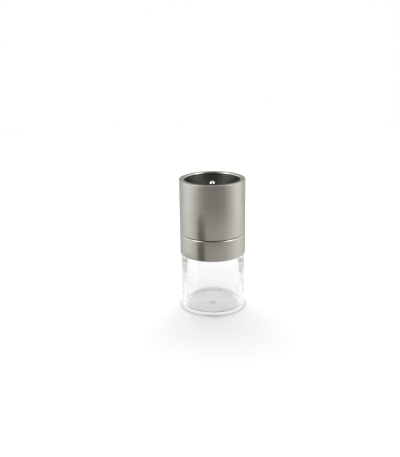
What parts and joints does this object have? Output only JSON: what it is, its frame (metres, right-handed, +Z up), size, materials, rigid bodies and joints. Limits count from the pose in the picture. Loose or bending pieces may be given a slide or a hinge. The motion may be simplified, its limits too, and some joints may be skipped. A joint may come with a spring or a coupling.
{
  "type": "pepper mill",
  "caption": "Compact upright pepper mill: clear jar, steel collar and twisting steel head with an open outlet recess, ceramic burrs and a knurled grind adjuster.",
  "frame": {"origin": "centre of the jar's foot, on the table", "axes": "+Z up along the mill's axis, from the jar to the open recess in the head; X and Y are horizontal, with one cover screw in the +X +Y quarter"},
  "size_m": [0.05, 0.05, 0.1017],
  "materials": {
    "clear_jar": "clear moulded plastic, polished",
    "sleeve_steel": "satin, brushed round the axis",
    "bright_steel": "bright turned steel",
    "black_plastic": "moulded, fine matt grain",
    "bearing_plastic": "smooth moulded",
    "burr_ceramic": "fired ceramic, fine matt",
    "seal_rubber": "soft matt"
  },
  "bodies": {
    "jar_unit": {"jar": "clear_jar", "collar_sleeve": "sleeve_steel", "coupling_ring": "black_plastic", "lip_gasket": "seal_rubber"},
    "grinder_frame": {"neck_spider": "black_plastic", "spindle": "bright_steel", "spindle_washer": "bright_steel", "spindle_clip": "bright_steel", "spring_seat": "bright_steel", "burr_spring": "bright_steel", "head_clip": "bright_steel"},
    "head_unit": {"head_sleeve": "sleeve_steel", "recess_liner": "sleeve_steel", "head_core": "black_plastic", "slip_ring": "bearing_plastic", "burr_holder": "black_plastic", "outer_burr": "burr_ceramic", "burr_cover": "black_plastic", "cover_screw_1": "bright_steel", "cover_screw_2": "bright_steel", "cover_screw_3": "bright_steel"},
    "inner_burr_unit": {"inner_burr": "burr_ceramic", "burr_bush": "black_plastic", "thrust_washer": "bright_steel"},
    "knob_unit": {"adjusting_knob": "bright_steel"}
  },
  "joints": [
    {"name": "bayonet_turn", "type": "hinge", "parent": "jar_unit", "child": "grinder_frame", "pos_m": [0, 0, 0.0536], "axis": [0, 0, 1], "range_deg": [0, 36]},
    {"name": "head_twist", "type": "hinge", "parent": "grinder_frame", "child": "head_unit", "pos_m": [0, 0, 0.0628], "axis": [0, 0, 1], "continuous": true},
    {"name": "burr_travel", "type": "slide", "parent": "grinder_frame", "child": "inner_burr_unit", "axis": [0, 0, 1], "range_m": [-0.0008, 0], "stiffness_N_per_m": 300, "springref_m": 0.002, "deforming": ["burr_spring"]},
    {"name": "adjuster_turn", "type": "hinge", "parent": "inner_burr_unit", "child": "knob_unit", "pos_m": [0, 0, 0.083], "axis": [0, 0, 1], "range_deg": [-360, 0]}
  ],
  "couplings": [
    {"joint": "adjuster_turn", "follows": "burr_travel", "rad_per_m": 7853.9}
  ]
}
